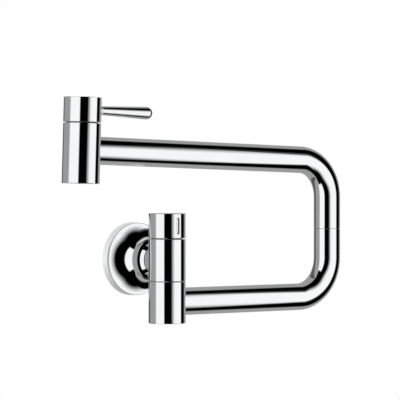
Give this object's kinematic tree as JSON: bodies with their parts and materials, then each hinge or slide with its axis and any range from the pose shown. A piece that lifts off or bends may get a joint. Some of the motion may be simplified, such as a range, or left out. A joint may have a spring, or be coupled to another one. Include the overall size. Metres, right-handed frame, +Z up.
{
  "type": "wall mounted pot filler",
  "caption": "Chrome folding pot filler: wall plate, upright valve cylinder with shut-off knob, bent tube arms with an elbow swivel, and an outlet cylinder with a lever valve.",
  "frame": {"origin": "centre of the wall plate's back face, on the wall", "axes": "+X along the wall towards the elbow, +Z up, -Y out of the wall into the room"},
  "size_m": [0.3313, 0.0875, 0.2122],
  "materials": {
    "chrome": "mirror-polished chrome plate on brass",
    "brass": "machined brass",
    "steel": "stainless steel, machined",
    "rubber": "black rubber",
    "ceramic": "ground alumina ceramic",
    "white_plastic": "white acetal",
    "grey_plastic": "grey moulded plastic"
  },
  "bodies": {
    "wall_unit": {"wall_flange": "chrome", "flange_seal": "rubber", "inlet_nipple": "brass", "strainer_washer": "rubber", "collar_nut": "chrome", "valve_body": "chrome", "swivel_spigot": "brass", "swivel_o_rings": "rubber", "spigot_seal": "rubber", "swivel_glide_washer": "white_plastic", "swivel_screw_washer": "steel", "swivel_screw": "steel", "shutoff_seat_seal": "rubber", "shutoff_fixed_disc": "ceramic", "shutoff_cartridge": "brass", "shutoff_cartridge_nut": "brass"},
    "shutoff_handle": {"shutoff_knob": "chrome", "shutoff_insert": "white_plastic", "shutoff_spindle": "brass", "shutoff_rotor_disc": "ceramic", "shutoff_spindle_o_ring": "rubber", "shutoff_grub_screw": "steel"},
    "lower_arm_unit": {"swivel_sleeve": "chrome", "sleeve_bottom_cap": "chrome", "lower_arm": "chrome", "elbow_socket": "brass", "elbow_glide_washer": "white_plastic", "elbow_grub_screw": "steel"},
    "upper_arm_unit": {"elbow_spigot": "brass", "elbow_o_rings": "rubber", "upper_arm": "chrome", "head_body": "chrome", "head_seat_seal": "rubber", "head_fixed_disc": "ceramic", "head_cartridge": "brass", "head_cartridge_nut": "brass", "aerator_washer": "rubber", "aerator_housing": "chrome", "aerator_insert": "grey_plastic"},
    "head_handle": {"head_cap": "chrome", "head_insert": "white_plastic", "head_spindle": "brass", "head_rotor_disc": "ceramic", "head_spindle_o_ring": "rubber", "head_grub_screw": "steel", "lever_ferrule": "chrome", "lever_pin": "chrome"}
  },
  "joints": [
    {"name": "shutoff_turn", "type": "hinge", "parent": "wall_unit", "child": "shutoff_handle", "pos_m": [0, -0.055, 0.03], "axis": [0, 0, 1], "range_deg": [0, 90]},
    {"name": "base_swivel", "type": "hinge", "parent": "wall_unit", "child": "lower_arm_unit", "pos_m": [0, -0.055, -0.04], "axis": [0, 0, 1], "range_deg": [-190, 10]},
    {"name": "elbow_swivel", "type": "hinge", "parent": "lower_arm_unit", "child": "upper_arm_unit", "pos_m": [0.2, -0.055, 0.027], "axis": [0, 0, 1], "range_deg": [-180, 180]},
    {"name": "head_valve_turn", "type": "hinge", "parent": "upper_arm_unit", "child": "head_handle", "pos_m": [-0.0986, -0.055, 0.14058], "axis": [0.0333, 0, 0.9994], "range_deg": [-90, 0]}
  ]
}
